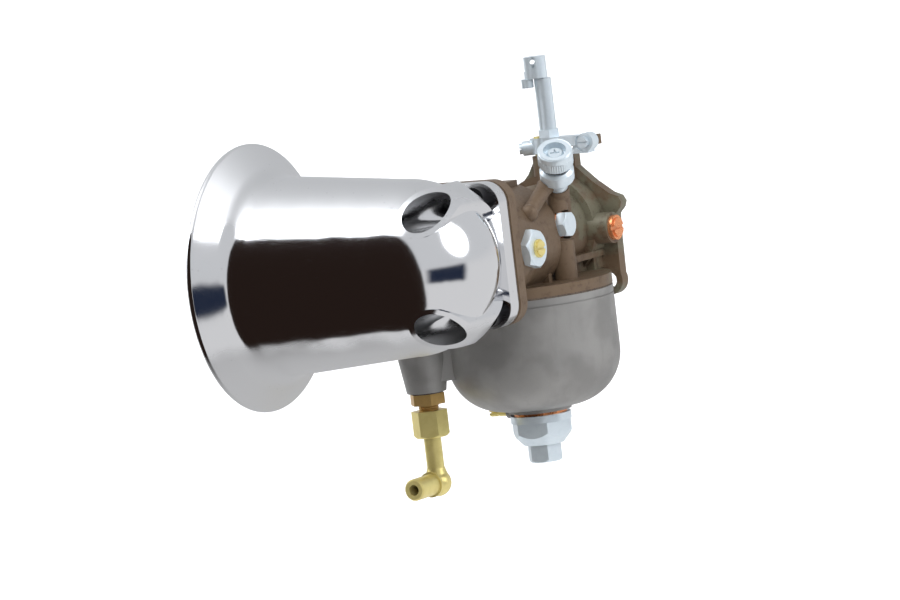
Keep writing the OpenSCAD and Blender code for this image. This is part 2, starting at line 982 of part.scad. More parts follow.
// Points along an arc, as radius and distance towards the mouth
function arc(centre, r, from, to, steps) =
  [for (i = [0 : steps]) centre + r * [
    cos(from + (to - from) * i / steps), sin(from + (to - from) * i / steps)
  ]];

// Wall of the horn as a section: radius along X, distance towards the mouth along Y
module horn_wall_section() {
  polygon(concat(
    arc([0, 0], dome_r, -90, 0, 30),
    arc(fillet_centre, fillet_r, 180, 180 - flare_angle, 12),
    arc(back_centre, back_r, -flare_angle, 0, 6),
    arc([rim_r - lip_r, mouth - lip_r], lip_r, 0, 90, 6),
    [[inner_rim + 0.5, mouth], [inner_rim - 0.2, mouth - 0.5]],
    arc(fillet_centre, fillet_r + horn_wall, 180 - flare_angle, 180, 12),
    arc([0, 0], dome_r - horn_wall, 0, -90, 24)
  ));
}

module horn_shell() {
  translate([0, elbow_y, 0])
    rotate([0, -90, 0])
      rotate_extrude()
        horn_wall_section();
}

module horn_mass() {
  horn_shell();
  difference() {
    plate_y(horn_y - horn_flange_t, horn_y, inlet_w, inlet_h, corner_r);
    translate([0, elbow_y, 0])
      sphere(r = dome_r - horn_wall / 2);
  }
  for (side = [-1, 1])
    intersection() {
      translate([fairing_out * 0.65, elbow_y + fairing_drop, side * fairing_out * 0.76])
        sphere(r = dome_r);
      translate([screw_x, 0, side * screw_z])
        rod_y(elbow_y - dome_r, horn_y - over, access_d / 2 + access_wall);
    }
}

module air_horn() {
  color(polished)
    difference() {
      union() {
        horn_mass();
        plate_y(horn_y - horn_face_wall, horn_y, inlet_w, inlet_h, corner_r);
      }
      rod_y(elbow_y, horn_y + over, pocket_r);
      translate([-inlet_w / 2 - flange_relief, horn_y, -inlet_h / 2 - over])
        cube([2 * dome_r, dome_r, inlet_h + 2 * over]);
      at_horn_screws() {
        rod_y(elbow_y - dome_r - over, horn_y - horn_flange_t, access_d / 2);
        rod_y(horn_y - horn_flange_t - over, horn_y + over, horn_screw_r + 0.3);
      }
    }
}

module horn_gasket() {
  color(paper)
    difference() {
      plate_y(horn_y, inlet_y, inlet_w, inlet_h, corner_r);
      rod_y(horn_y - over, inlet_y + over, pocket_r);
      at_horn_screws()
        rod_y(horn_y - over, inlet_y + over, horn_screw_r + 0.3);
    }
}

module horn_screws() {
  seat = horn_y - horn_flange_t;
  color(black_steel)
    at_horn_screws()
      difference() {
        union() {
          rod_y(seat, inlet_y + inlet_t, horn_screw_r);
          rod_y(seat - screw_head_h, seat, screw_head_r);
        }
        translate([0, seat - screw_head_h + 3.2, 0])
          rotate([90, 0, 0])
            hex(5, 3.2 + over);
      }
}

// A round pot as a section, r wide, from the top down to the bottom
module pot_section(r, top, bottom, corner) {
  translate([0, bottom + corner])
    square([r, top - bottom - corner]);
  translate([0, bottom])
    square([r - corner, corner]);
  translate([r - corner, bottom + corner])
    intersection() {
      circle(r = corner);
      translate([0, -2 * corner])
        square([2 * corner, 2 * corner]);
    }
}

module bowl_mass() {
  groove_low = bowl_top - 3.2;
  on_bowl_axis() {
    drain_boss();
    rotate_extrude()
      difference() {
        union() {
          pot_section(bowl_r, bowl_top, bowl_bottom, bowl_corner);
          translate([0, stack_top])
            square([bowl_hub_r, bowl_hub_h + over]);
        }
        translate([bowl_r - 0.35, groove_low])
          square([over, 0.6]);
      }
  }
  on_boss_axis()
  {
    translate([0, 0, boss_low])
      cylinder(h = boss_shoulder - boss_low, r1 = boss_r, r2 = boss_r + 2);
    translate([0, 0, boss_shoulder])
      cylinder(h = boss_high - boss_shoulder, r = boss_r + 2);
  }
  towards_boss()
    translate([bowl_r - 6, -web_w / 2, boss_low + 4])
      cube([boss_at - bowl_r + 6, web_w, boss_high - boss_low - 4]);
}

module float_bowl() {
  inside_bottom = bowl_bottom + bowl_wall;
  color(cast_grey)
    difference() {
      bowl_mass();
      on_bowl_axis() {
        rotate_extrude()
          pot_section(bowl_r - bowl_wall, bowl_top + over, inside_bottom, bowl_corner - bowl_wall);
        translate([0, 0, stack_top - over])
          cylinder(h = bowl_depth, r = stud_r + 0.3);
        translate([0, 0, nut_top - over])
          cylinder(h = copper_t + collar_t + over, r = collar_r + free_gap);
        translate([-14.5 - over, 0, plug_stub_z])
          rod_x(0, 1.5 + over, 1.2);
      }
      on_boss_axis() {
        translate([0, 0, chamber_low])
          cylinder(h = chamber_high - chamber_low, r = chamber_r);
        translate([0, 0, boss_low - over])
          cylinder(h = chamber_low - boss_low + 2 * over, r = seat_thread_r);
      }
      towards_boss() {
        translate([bowl_r - bowl_wall - 4, -window_w / 2, window_low])
          cube([boss_at - bowl_r + bowl_wall + 4, window_w, window_high - window_low]);
        translate([pin_at, -web_w, pin_z])
          rod_y(0, 2 * web_w, pin_r);
      }
    }
}

module bowl_gasket() {
  color(cork)
    on_bowl_axis()
      translate([0, 0, bowl_top])
        ring(bowl_gasket_t, bowl_r - 0.2, bowl_r - bowl_wall);
}

module bowl_nut() {
  color(zinc)
    on_bowl_axis()
      difference() {
        union() {
          translate([0, 0, nut_top])
            cylinder(h = stud_top - nut_top, r = stud_r);
          translate([0, 0, nut_top - nut_hex_h])
            mirror([0, 0, 1])
              translate([0, 0, -nut_hex_h])
                rotate([0, 0, 8])
                  tapered_hex(nut_hex_af, nut_hex_h, 5.2, 8.2);
          translate([0, 0, nut_top - nut_hex_h - tip_h])
            mirror([0, 0, 1])
              translate([0, 0, -tip_h - over])
                rotate([0, 0, 8])
                  turned_hex(tip_af, tip_h + over);
        }
        translate([0, 0, nut_top + 1])
          cylinder(h = stud_top - nut_top, r = 2);
        translate([-stud_r - over, 0, bowl_bottom + bowl_wall + 2.4])
          rod_x(0, 2 * (stud_r + over), 1.5);
      }
}

module bowl_nut_collar() {
  color(zinc)
    on_bowl_axis()
      translate([0, 0, nut_top])
        ring(collar_t, collar_r, stud_r);
}

// Small boss at the bottom of the bowl, with the drain plug pointing along -X
module drain_boss() {
  translate([-14.5, 0, plug_stub_z])
    rod_x(0, 6, plug_stub_r + 1.1);
}

module drain_plug() {
  end = 22.6;
  color(brass)
    on_bowl_axis()
      translate([0, 0, plug_stub_z])
        difference() {
          union() {
            rod_x(-14.5, -13, 1.2);
            rod_x(-18.6, -14.5, plug_stub_r);
            rod_x(-19.8, -18.6, plug_stub_r - 0.5);
            rod_x(-end, -19.8, plug_stub_r);
          }
          translate([-end - over, -3, -0.3])
            cube([over + 0.9, 6, 0.6]);
        }
}

module bowl_nut_washer() {
  color(copper)
    on_bowl_axis()
      translate([0, 0, nut_top + collar_t])
        ring(copper_t, collar_r - 1.5, stud_r);
}

module float() {
  color(cork)
    on_bowl_axis()
      translate([0, 0, float_low])
        ring(float_high - float_low, float_out, float_in);
}

module float_lever() {
  tail = boss_at + 2.6;
  color(brass)
    towards_boss()
      difference() {
        union() {
          translate([pin_at, 0, pin_z])
            rod_y(-lever_w / 2, lever_w / 2, lever_eye_r);
          translate([lever_in, -lever_w / 2, pin_z - lever_t / 2])
            cube([tail - lever_in, lever_w, lever_t]);
          translate([lever_in, -lever_w / 2, float_high])
            cube([lever_t, lever_w, pin_z - float_high]);
          translate([lever_in - 5, -lever_w / 2, float_high])
            cube([5 + lever_t, lever_w, lever_t]);
        }
        translate([pin_at, 0, pin_z])
          rod_y(-lever_w, lever_w, pin_r + running_gap);
      }
}

module float_pin() {
  color(zinc)
    towards_boss()
      translate([pin_at, 0, pin_z])
        rod_y(-web_w / 2, web_w / 2, pin_r);
}

module float_valve() {
  cone_len = 2.4;
  valve_top = pin_z - lever_t / 2 - free_gap;
  valve_low = seat_top - 5 + valve_lift;
  color(brass)
    on_boss_axis() {
      translate([0, 0, valve_low + cone_len])
        cylinder(h = valve_top - valve_low - cone_len, r = valve_r);
      translate([0, 0, valve_low])
        cylinder(h = cone_len, r1 = 0.5, r2 = valve_r);
    }
}

module valve_seat() {
  cone_len = 2.4;
  guide_low = seat_top - 5;
  hex_top = seat_low + seat_hex_h;
  color(brass)
    on_boss_axis()
      difference() {
        union() {
          translate([0, 0, hex_top])
            cylinder(h = chamber_low - hex_top, r = seat_thread_r);
          translate([0, 0, chamber_low])
            cylinder(h = seat_top - chamber_low, r = seat_thread_r);
          translate([0, 0, seat_low])
            rotate([0, 0, 10])
              hex(seat_hex_af, seat_hex_h);
          translate([0, 0, union_top])
            cylinder(h = seat_low - union_top, r = neck_thread_r);
        }
        translate([0, 0, union_top - over])
          cylinder(h = guide_low - union_top + 2 * over, r = 1.2);
        translate([0, 0, guide_low - 0.1])
          cylinder(h = cone_len, r1 = 0.5 + free_gap, r2 = valve_r + running_gap);
        translate([0, 0, guide_low - 0.1 + cone_len])
          cylinder(h = 5, r = valve_r + running_gap);
      }
}

module seat_washer() {
  color(fibre)
    on_boss_axis()
      translate([0, 0, boss_low - fibre_t])
        ring(fibre_t, seat_thread_r + 1.6, seat_thread_r);
}

module inlet_nut() {
  color(brass)
    on_boss_axis()
      difference() {
        translate([0, 0, inlet_nut_top])
          mirror([0, 0, 1])
            rotate([0, 0, 22])
              turned_hex(inlet_nut_af, inlet_nut_h);
        translate([0, 0, union_top])
          cylinder(h = inlet_nut_top - union_top + over, r = neck_thread_r);
        translate([0, 0, union_top - ferrule_t])
          cylinder(h = ferrule_t, r = ferrule_r);
        translate([0, 0, inlet_nut_low - over])
          cylinder(h = inlet_nut_h, r = pipe_r);
      }
}

module inlet_elbow() {
  ferrule_low = union_top - ferrule_t;
  color(brass)
    on_boss_axis()
      difference() {
        union() {
          translate([0, 0, elbow_z])
            cylinder(h = union_top - elbow_z, r = pipe_r);
          translate([0, 0, ferrule_low])
            cylinder(h = ferrule_t, r = ferrule_r);
          translate([0, 0, elbow_z])
            sphere(r = ball_r);
          translate([0, 0, elbow_z + 3])
            cylinder(h = 3.4, r1 = 4.6, r2 = pipe_r);
          translate([0, 0, elbow_z]) {
            {
            rod_y(-stem_len + 0.6, 0, stem_r);
            rod_y(-ball_r - stem_collar_t / 4, -ball_r + stem_collar_t, stem_r + stem_collar_t);
          }
            cone_y(-stem_len, -stem_len + 0.6, stem_r - 0.6, stem_r);
          }
        }
        translate([0, 0, elbow_z])
          cylinder(h = union_top - elbow_z + over, r = pipe_bore);
        translate([0, 0, elbow_z])
          rod_y(-stem_len - 2, 0, pipe_bore);
      }
}

body();
venturi();
main_nozzle();
idle_tube();
throttle_shaft();
throttle_disc();
disc_screws();
throttle_lever();
lever_pinch_screw();
idle_stop_screw();
cable_clamp();
cable_clamp_screw();
needle_gland();
ratchet_washer();
low_speed_needle();
needle_knob();
knob_screw();
venturi_screw();
venturi_lock_nut();
passage_screw();
passage_washer();
flange_plug();
air_horn();
horn_gasket();
horn_screws();
float_bowl();
bowl_gasket();
bowl_nut();
bowl_nut_collar();
bowl_nut_washer();
drain_plug();
float();
float_lever();
float_pin();
float_valve();
valve_seat();
seat_washer();
inlet_nut();
inlet_elbow();
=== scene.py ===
import json
import math
import bpy
from mathutils import Matrix, Vector


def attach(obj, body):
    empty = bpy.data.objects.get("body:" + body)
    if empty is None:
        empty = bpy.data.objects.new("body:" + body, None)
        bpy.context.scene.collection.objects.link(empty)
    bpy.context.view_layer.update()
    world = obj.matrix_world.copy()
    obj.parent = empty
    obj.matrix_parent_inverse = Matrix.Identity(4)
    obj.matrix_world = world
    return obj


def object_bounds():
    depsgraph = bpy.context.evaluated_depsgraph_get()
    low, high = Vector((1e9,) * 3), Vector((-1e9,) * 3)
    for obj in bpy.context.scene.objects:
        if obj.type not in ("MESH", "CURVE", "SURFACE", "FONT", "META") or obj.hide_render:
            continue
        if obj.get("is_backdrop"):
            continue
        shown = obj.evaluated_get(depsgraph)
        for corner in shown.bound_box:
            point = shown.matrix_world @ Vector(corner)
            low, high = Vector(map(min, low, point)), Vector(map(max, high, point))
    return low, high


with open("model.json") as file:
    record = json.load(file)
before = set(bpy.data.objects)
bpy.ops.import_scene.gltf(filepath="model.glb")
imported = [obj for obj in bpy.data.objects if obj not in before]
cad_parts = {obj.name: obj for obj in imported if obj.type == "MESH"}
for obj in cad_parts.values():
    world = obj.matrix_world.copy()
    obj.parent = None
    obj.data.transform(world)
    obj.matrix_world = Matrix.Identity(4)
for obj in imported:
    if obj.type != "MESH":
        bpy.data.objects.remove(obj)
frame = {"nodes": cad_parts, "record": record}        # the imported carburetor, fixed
perMetre = 1000          # millimetres in a metre
nodes = frame["nodes"]
cadLow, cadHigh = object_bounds()
print("frame loaded:", len(nodes), "nodes")


# a socket that can be used in sums
class Signal:
    def __init__(self, bench, socket):
        self.bench = bench
        self.socket = socket

    def joined(self, operation, first, second):
        return self.bench.node("ShaderNodeMath", {"operation": operation}, {0: first, 1: second})

    def __add__(self, other):
        return self.joined("ADD", self, other)

    def __sub__(self, other):
        return self.joined("SUBTRACT", self, other)

    def __rsub__(self, other):
        return self.joined("SUBTRACT", other, self)

    def __mul__(self, other):
        return self.joined("MULTIPLY", self, other)

    def __truediv__(self, other):
        return self.joined("DIVIDE", self, other)

    __radd__ = __add__


class Bench:
    def __init__(self, tree):
        self.tree = tree
        tree.nodes.clear()

    # settings first, then values or links
    def node(self, kind, settings, inputs, output=0):
        made = self.tree.nodes.new(kind)
        for name, value in settings.items():
            setattr(made, name, value)
        for name, value in inputs.items():
            if isinstance(value, Signal):
                self.tree.links.new(value.socket, made.inputs[name])
            else:
                made.inputs[name].default_value = value
        if len(made.outputs):
            return Signal(self, made.outputs[output])
        return made

    def millimetres(self):
        place = self.node("ShaderNodeTexCoord", {}, {}, "Object")
        return self.scaled(place, (perMetre, perMetre, perMetre))

    def scaled(self, vector, factors):
        return self.node("ShaderNodeVectorMath", {"operation": "MULTIPLY"}, {0: vector, 1: factors})

    def split(self, vector):
        return [self.node("ShaderNodeSeparateXYZ", {}, {0: vector}, axis) for axis in "XYZ"]

    def noise(self, vector, scale, detail=3, roughness=0.55):
        return self.node("ShaderNodeTexNoise", {}, {"Vector": vector, "Scale": scale,
                         "Detail": detail, "Roughness": roughness})

    def cells(self, vector, scale):
        return self.node("ShaderNodeTexVoronoi", {}, {"Vector": vector, "Scale": scale})

    def rise(self, value, low, high):
        return self.node("ShaderNodeMapRange", {"interpolation_type": "SMOOTHSTEP"},
                         {0: value, 1: low, 2: high, 3: 0.0, 4: 1.0})

    def band(self, value, low, high, soft):
        fall = self.rise(value, high - soft, high + soft)
        return self.rise(value, low - soft, low + soft) * (1 - fall)

    def mix(self, factor, first, second):
        return self.node("ShaderNodeMix", {"data_type": "RGBA", "blend_type": "MIX"},
                         {0: factor, 6: first, 7: second}, 2)

    def bump(self, height, strength, depth):
        return self.node("ShaderNodeBump", {},
                         {"Strength": strength, "Distance": depth, "Height": height})


def colour(red, green, blue):
    return (red, green, blue, 1.0)


def newFinish(name):
    material = bpy.data.materials.new(name)
    material.use_nodes = True
    return material, Bench(material.node_tree)


def applyFinish(bench, **sockets):
    names = {"base": "Base Color", "metal": "Metallic", "rough": "Roughness", "normal": "Normal",
             "specular": "Specular IOR Level"}
    shader = bench.node("ShaderNodeBsdfPrincipled", {},
                        {names[key]: value for key, value in sockets.items()})
    bench.node("ShaderNodeOutputMaterial", {}, {"Surface": shader})


bronzeLook = {
    "brown": colour(0.128, 0.086, 0.053), "dark": colour(0.055, 0.030, 0.018),
    "grey": colour(0.150, 0.150, 0.105), "roughness": 0.50, "grain": 0.9, "grainDepth": 0.00012,
    "broad": 0.06, "stain": 0.22, "pits": 0.9, "patinaFront": -34.0, "patinaBack": -20.0,
    "patinaShare": 0.75, "stainShare": 0.7, "metal": 0.25,
}


def bronzeCasting(look):
    material, bench = newFinish("bronzeCasting")
    place = bench.millimetres()
    y = bench.split(place)[1]
    broad = bench.noise(place, look["broad"], 4, 0.6)
    fine = bench.noise(place, look["grain"], 5, 0.65)
    stain = bench.noise(place, look["stain"], 6, 0.7)
    patina = bench.rise(y, look["patinaFront"], look["patinaBack"]) * bench.rise(broad, 0.44, 0.60)
    skin = bench.mix(patina * look["patinaShare"], look["brown"], look["grey"])
    skin = bench.mix(bench.rise(stain, 0.50, 0.72) * look["stainShare"], skin, look["dark"])
    skin = bench.mix(bench.rise(fine, 0.35, 0.30) * 0.5, skin, look["dark"])
    pits = bench.rise(bench.cells(place, look["pits"]), 0.10, 0.30)
    height = fine * 0.7 + pits * 0.3 + broad * 1.5
    applyFinish(bench, base=skin, metal=look["metal"], rough=look["roughness"] + (fine - 0.5) * 0.35,
                normal=bench.bump(height, 0.55, look["grainDepth"]), specular=0.5)
    return material


aluminiumLook = {
    "grey": colour(0.300, 0.294, 0.283), "dark": colour(0.235, 0.230, 0.222),
    "roughness": 0.46, "grain": 1.6, "grainDepth": 0.00006,
    "broad": 0.05, "smear": (0.2, 0.2, 0.04), "smearShare": 0.4, "metal": 0.6,
}


def castAluminium(look):
    material, bench = newFinish("castAluminium")
    place = bench.millimetres()
    broad = bench.noise(place, look["broad"], 3, 0.5)
    fine = bench.noise(place, look["grain"], 4, 0.6)
    smear = bench.noise(bench.scaled(place, look["smear"]), 1.0, 4, 0.6)
    skin = bench.mix(bench.rise(broad, 0.40, 0.65), look["grey"], look["dark"])
    skin = bench.mix(bench.rise(smear, 0.55, 0.75) * look["smearShare"], skin, look["dark"])
    applyFinish(bench, base=skin, metal=look["metal"], rough=look["roughness"] + (fine - 0.5) * 0.25,
                normal=bench.bump(fine, 0.35, look["grainDepth"]))
    return material


hornLook = {
    "bright": colour(0.86, 0.865, 0.88), "satin": colour(0.70, 0.705, 0.71),
    "speck": colour(0.35, 0.35, 0.36), "polish": 0.07, "satinRoughness": 0.34,
    "satinFrom": 21.0, "satinTo": 29.0, "waver": 9, "drag": (0.05, 1.4, 1.4), "hairs": (0.10, 3.2, 2.2),
    "specks": 0.28, "wave": 0.035, "waveStrength": 0.25, "waveDepth": 0.0008,
}


def polishedHorn(look):
    material, bench = newFinish("polishedHorn")
    place = bench.millimetres()
    z = bench.split(place)[2]
    # the buffing wheel reaches the sides, and leaves the top and the underside satin
    away = bench.node("ShaderNodeMath", {"operation": "ABSOLUTE"}, {0: z})
    waver = bench.noise(place, 0.05, 3, 0.6)
    satin = bench.rise(away + (waver - 0.5) * look["waver"], look["satinFrom"], look["satinTo"])
    drag = bench.noise(bench.scaled(place, look["drag"]), 1.0, 5, 0.7)
    hairs = bench.rise(bench.noise(bench.scaled(place, look["hairs"]), 1.0, 2, 0.5), 0.66, 0.74)
    specks = 1 - bench.rise(bench.cells(place, look["specks"]), 0.03, 0.08)
    skin = bench.mix(satin * 0.8, look["bright"], look["satin"])
    skin = bench.mix(specks * 0.6, skin, look["speck"])
    wave = bench.noise(place, look["wave"], 2, 0.5)
    height = wave * 1.0 + drag * 0.010 + hairs * 0.006 - specks * 0.02
    applyFinish(bench, base=skin, metal=1.0,
                rough=look["polish"] + satin * look["satinRoughness"] + drag * 0.06 + hairs * 0.10,
                normal=bench.bump(height, look["waveStrength"], look["waveDepth"]))
    return material


platedLooks = {
    "zincPlate": {"base": colour(0.72, 0.80, 0.85), "dull": colour(0.56, 0.64, 0.70),
                  "roughness": 0.34, "blotch": 0.3, "metal": 0.7},
    "yellowBrass": {"base": colour(0.80, 0.68, 0.27), "dull": colour(0.62, 0.50, 0.17),
                    "roughness": 0.34, "blotch": 0.3, "metal": 0.7},
    "redBrass": {"base": colour(0.66, 0.43, 0.16), "dull": colour(0.48, 0.29, 0.10),
                 "roughness": 0.34, "blotch": 0.3, "metal": 0.75},
    "copperPlug": {"base": colour(0.88, 0.36, 0.16), "dull": colour(0.55, 0.17, 0.07),
                   "roughness": 0.28, "blotch": 0.35, "metal": 0.8},
    "blackOxide": {"base": colour(0.030, 0.030, 0.034), "dull": colour(0.015, 0.015, 0.017),
                   "roughness": 0.38, "blotch": 0.35, "metal": 0.8},
}
platedBroad, platedGrain, platedDepth = 0.25, 3.0, 0.00002


def platedMetal(name):
    look = platedLooks[name]
    material, bench = newFinish(name)
    place = bench.millimetres()
    broad = bench.noise(place, platedBroad, 4, 0.6)
    fine = bench.noise(place, platedGrain, 3, 0.6)
    skin = bench.mix(bench.rise(broad, 0.42, 0.70) * look["blotch"], look["base"], look["dull"])
    applyFinish(bench, base=skin, metal=look["metal"],
                rough=look["roughness"] + (broad - 0.5) * 0.15 + (fine - 0.5) * 0.12,
                normal=bench.bump(fine, 0.3, platedDepth))
    return material


softLooks = {
    "gasketSheet": {"base": colour(0.10, 0.075, 0.055), "second": colour(0.05, 0.038, 0.030),
                    "roughness": 0.8, "grain": 1.2, "depth": 0.0001},
    "sealedCork": {"base": colour(0.46, 0.29, 0.15), "second": colour(0.24, 0.13, 0.06),
                   "roughness": 0.75, "grain": 0.6, "depth": 0.0003},
}


def softFinish(name):
    look = softLooks[name]
    material, bench = newFinish(name)
    place = bench.millimetres()
    crumbs = bench.noise(place, look["grain"], 4, 0.7)
    skin = bench.mix(bench.rise(crumbs, 0.40, 0.62), look["base"], look["second"])
    applyFinish(bench, base=skin, metal=0.0, rough=look["roughness"] + (crumbs - 0.5) * 0.2,
                normal=bench.bump(crumbs, 0.5, look["depth"]))
    return material


finishes = {
    "bronze_casting": bronzeCasting(bronzeLook),
    "cast_aluminium": castAluminium(aluminiumLook),
    "polished_aluminium": polishedHorn(hornLook),
    "zinc_steel": platedMetal("zincPlate"),
    "brass": platedMetal("yellowBrass"),
    "red_brass": platedMetal("redBrass"),
    "copper": platedMetal("copperPlug"),
    "black_steel": platedMetal("blackOxide"),
    "gasket": softFinish("gasketSheet"),
    "cork": softFinish("sealedCork"),
}
print("finishes made:", len(finishes))


smoothLook = {"sharpFrom": 32, "mergeDistance": 0.000001, "normalWeight": 60}


# smooth shading on curved faces only, as a modifier, so that the meshes stay as packed
def smoothGroup(limit):
    group = bpy.data.node_groups.new("smoothCurves", "GeometryNodeTree")
    group.interface.new_socket("Geometry", in_out="INPUT", socket_type="NodeSocketGeometry")
    group.interface.new_socket("Geometry", in_out="OUTPUT", socket_type="NodeSocketGeometry")
    bench = Bench(group)
    shape = bench.node("NodeGroupInput", {}, {})
    shape = bench.node("GeometryNodeRemoveAttribute", {}, {"Geometry": shape, "Name": "custom_normal"})
    shape = bench.node("GeometryNodeMergeByDistance", {},
                       {"Geometry": shape, "Distance": smoothLook["mergeDistance"]})
    shape = bench.node("GeometryNodeSetShadeSmooth", {"domain": "FACE"}, {0: shape, 2: True})
    angle = bench.node("GeometryNodeInputMeshEdgeAngle", {}, {})
    gentle = bench.node("FunctionNodeCompare", {"data_type": "FLOAT", "operation": "LESS_THAN"},
                        {0: angle, 1: limit})
    shape = bench.node("GeometryNodeSetShadeSmooth", {"domain": "EDGE"}, {0: shape, 2: gentle})
    bench.node("NodeGroupOutput", {}, {0: shape})
    return group


def smoothed(piece, group):
    curves = piece.modifiers.new("smoothCurves", "NODES")
    curves.node_group = group
    tidyNormals = piece.modifiers.new("tidyNormals", "WEIGHTED_NORMAL")
    tidyNormals.mode = "FACE_AREA"
    tidyNormals.weight = smoothLook["normalWeight"]
    tidyNormals.keep_sharp = True


def setFinish(piece, material):
    if not piece.material_slots:
        piece.data.materials.append(material)
    for slot in piece.material_slots:
        slot.material = material


curveGroup = smoothGroup(math.radians(smoothLook["sharpFrom"]))
for part in frame["record"]["subparts"]:
    setFinish(nodes[part["node"]], finishes[part["material_slot"]])
    smoothed(nodes[part["node"]], curveGroup)


# pieces turned about an axis; lengths are in millimetres
def alongAxis(axis):
    return axis.normalized().to_track_quat("Z", "Y").to_matrix()


def surfaceRadius(node, origin, axis, height, startOut=40):
    sideways = alongAxis(axis) @ Vector((1, 0, 0))
    middle = origin + axis * height
    found, place = nodes[node].ray_cast((middle + sideways * startOut) / perMetre, -sideways)[:2]
    return (place * perMetre - middle).length if found else 0


def addPiece(name, points, faces, body, slot):
    mesh = bpy.data.meshes.new(name)
    mesh.from_pydata([tuple(point / perMetre) for point in points], [], faces)
    mesh.validate()
    mesh.update()
    piece = bpy.data.objects.new(name, mesh)
    bpy.context.scene.collection.objects.link(piece)
    setFinish(piece, finishes[slot])
    smoothed(piece, curveGroup)
    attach(piece, body)


# profile rows are radius, height and how far the row is fluted
def turned(name, profile, origin, axis, body, slot, steps, flutes=0):
    turn = alongAxis(axis)
    points, faces = [], []
    for step in range(steps):
        angle = 2 * math.pi * step / steps
        ridge = 1 - abs((step * flutes / steps) % 1 * 2 - 1) if flutes else 0
        for radius, height, depth in profile:
            reach = radius + depth * ridge
            points.append(origin + turn @ Vector((reach * math.cos(angle),
                                                  reach * math.sin(angle), height)))
    rows = len(profile)
    for step in range(steps):
        following = (step + 1) % steps
        for row in range(rows):
            above = (row + 1) % rows
            faces.append((step * rows + row, following * rows + row,
                          following * rows + above, step * rows + above))
    addPiece(name, points, faces, body, slot)


# rows of the thread's section: how far out, and how far along in pitches
def threaded(name, look, origin, axis, body, slot):
    turn = alongAxis(axis)
    points, faces = [], []
    stepsPerTurn = look["stepsPerTurn"]
    count = int((look["high"] - look["low"] - look["pitch"]) / look["pitch"] * stepsPerTurn)
    for step in range(count + 1):
        angle = 2 * math.pi * step / stepsPerTurn
        height = look["low"] + look["pitch"] * (0.5 + step / stepsPerTurn)
        ends = min(1, step / look["runOut"], (count - step) / look["runOut"])
        crest, root, flat, foot = look["depth"] * ends, -look["sunk"], look["flat"], look["foot"]
        for reach, shift in ((root, -foot), (crest, -flat), (crest, flat), (root, foot)):
            radius = look["radius"] + reach
            points.append(origin + turn @ Vector((radius * math.cos(angle), radius * math.sin(angle),
                                                  height + shift * look["pitch"])))
    for step in range(count):
        for corner in range(4):
            nearby = (corner + 1) % 4
            faces.append((step * 4 + corner, step * 4 + 4 + corner,
                          step * 4 + 4 + nearby, step * 4 + nearby))
    faces.append((3, 2, 1, 0))
    last = count * 4
    faces.append((last, last + 1, last + 2, last + 3))
    addPiece(name, points, faces, body, slot)


knobLook = {
    "ridges": 46, "ridgeDepth": 0.22, "rowsPerRidge": 6, "rimSteps": 128, "base": 15.2, "measureAt": 3.0,
    "low": 0.6, "grip": 4.7, "rim": 7.3, "rimProud": 0.2, "sunk": 0.3,
    "origin": Vector((21.6, -40.0, 17.4)), "axis": Vector((0.3009075, -0.5211871, 0.7986355)),
}
knobRadius = surfaceRadius("needle_knob", knobLook["origin"], knobLook["axis"],
                           knobLook["base"] + knobLook["measureAt"])
low, grip, rim = (knobLook["base"] + knobLook[key] for key in ("low", "grip", "rim"))
ridge, proud, inside = knobLook["ridgeDepth"], knobLook["rimProud"], knobRadius - knobLook["sunk"]
knurlProfile = [
    (inside, low, 0), (knobRadius - 0.02, low, 0), (knobRadius, low + 0.2, ridge),
    (knobRadius, grip - 0.2, ridge), (knobRadius - 0.02, grip, 0), (inside, grip, 0),
]
turned("knobKnurl", knurlProfile, knobLook["origin"], knobLook["axis"], "knob", "zinc_steel",
       knobLook["ridges"] * knobLook["rowsPerRidge"], knobLook["ridges"])
rimProfile = [
    (inside, grip, 0), (knobRadius + proud * 0.5, grip + 0.05, 0), (knobRadius + proud, grip + 0.4, 0),
    (knobRadius + proud, rim - 0.6, 0), (knobRadius + proud * 0.6, rim - 0.2, 0),
    (knobRadius - 0.05, rim, 0), (inside, rim - 0.1, 0),
]
turned("knobRim", rimProfile, knobLook["origin"], knobLook["axis"], "knob", "zinc_steel",
       knobLook["rimSteps"])
print("knob knurled at radius", round(knobRadius, 2))

seatLook = {
    "low": -64.25, "high": -61.85, "pitch": 0.8, "depth": 0.28, "sunk": 0.12, "flat": 0.06, "foot": 0.42,
    "stepsPerTurn": 40, "runOut": 10, "measureAt": -63.0, "origin": Vector((-35.2662, -65.5517, 0)),
}
upright = Vector((0, 0, 1))
seatLook["radius"] = surfaceRadius("valve_seat", seatLook["origin"], upright, seatLook["measureAt"])
threaded("seatThread", seatLook, seatLook["origin"], upright, "carburetor_frame", "red_brass")
print("seat threaded at radius", round(seatLook["radius"], 2))


studioLook = {
    "floorDrop": 0.25, "floorSize": 120.0, "floorGlow": 0.35,
    "field": colour(0.018, 0.011, 0.009), "wedge": colour(0.015, 0.022, 0.045),
    "upper": colour(0.60, 0.61, 0.63), "lower": colour(0.68, 0.68, 0.69),
    "strip": colour(3.4, 3.45, 3.55), "side": colour(3.2, 3.25, 3.35),
    "fieldBelow": 14.5, "fieldTall": 64.5, "fieldLeft": 0.2, "fieldWide": 0.88,
    "stripFrom": 50, "stripTo": 83, "wedgeFrom": 83.5, "wedgeTo": 87.5, "sideFacing": (0.875, 0.188, 0.442),
    "lowWedgeFrom": 50, "lowWedgeTo": 104,
}


